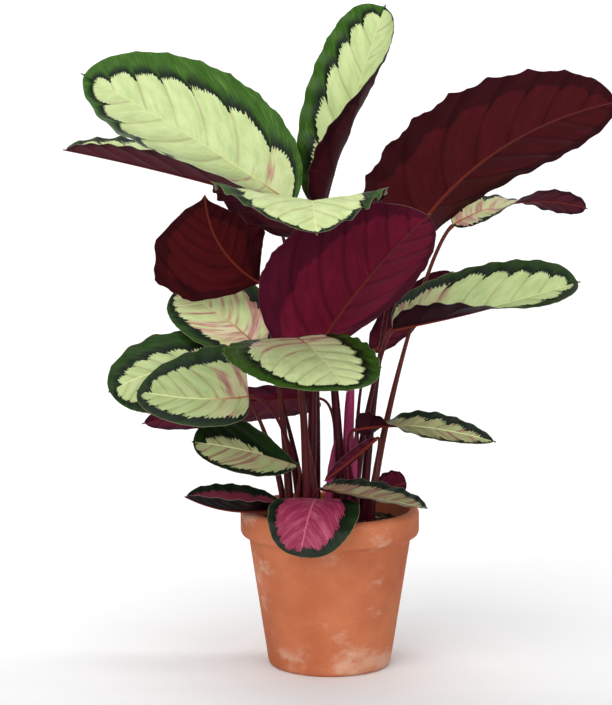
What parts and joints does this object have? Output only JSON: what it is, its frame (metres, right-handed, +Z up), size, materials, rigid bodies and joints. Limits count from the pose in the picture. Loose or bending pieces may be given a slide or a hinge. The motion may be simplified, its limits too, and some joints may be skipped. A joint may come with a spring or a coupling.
{
  "type": "potted prayer plant",
  "caption": "Leafy prayer plant in a plain tapered clay pot: cream leaves with toothed dark green borders and wine-red undersides fan out on slender red stalks.",
  "frame": {"origin": "centre of the pot's flat underside", "axes": "+Z up through the pot to the top leaf, -Y towards the plant's front as the picture shows it, +X to that view's right"},
  "size_m": [0.5624, 0.3834, 0.6644],
  "materials": {
    "clay": "unglazed fired clay, matte, with faint mineral bloom",
    "soil": "damp peat and bark crumbs, matte",
    "leaf": "satin leaf: cream veined centre and dark green toothed border above, wine red below",
    "stalk": "satin, dark red to reddish brown",
    "new_leaf": "satin, magenta rolled leaf"
  },
  "bodies": {
    "root": {"pot": "clay", "soil": "soil", "high_left_blade": "leaf", "high_left_stalk": "stalk", "side_left_blade": "leaf", "side_left_stalk": "stalk", "top_upright_blade": "leaf", "top_upright_stalk": "stalk", "top_front_blade": "leaf", "top_front_stalk": "stalk", "centre_raised_blade": "leaf", "centre_raised_stalk": "stalk", "left_raised_blade": "leaf", "left_raised_stalk": "stalk", "high_right_blade": "leaf", "high_right_stalk": "stalk", "right_twisted_blade": "leaf", "right_twisted_stalk": "stalk", "right_cupped_blade": "leaf", "right_cupped_stalk": "stalk", "mid_left_blade": "leaf", "mid_left_stalk": "stalk", "centre_front_blade": "leaf", "centre_front_stalk": "stalk", "low_left_back_blade": "leaf", "low_left_back_stalk": "stalk", "low_left_front_blade": "leaf", "low_left_front_stalk": "stalk", "low_left_edge_blade": "leaf", "low_left_edge_stalk": "stalk", "basal_left_blade": "leaf", "basal_left_stalk": "stalk", "ground_left_blade": "leaf", "ground_left_stalk": "stalk", "rim_front_blade": "leaf", "rim_front_stalk": "stalk", "low_right_twisted_blade": "leaf", "low_right_twisted_stalk": "stalk", "ground_right_blade": "leaf", "ground_right_stalk": "stalk", "ground_right_back_blade": "leaf", "ground_right_back_stalk": "stalk", "mid_right_back_blade": "leaf", "mid_right_back_stalk": "stalk", "narrow_bract_blade": "leaf", "narrow_bract_stalk": "stalk", "new_leaf_left": "new_leaf", "new_leaf_right": "new_leaf", "new_leaf_tall": "new_leaf"}
  },
  "joints": []
}
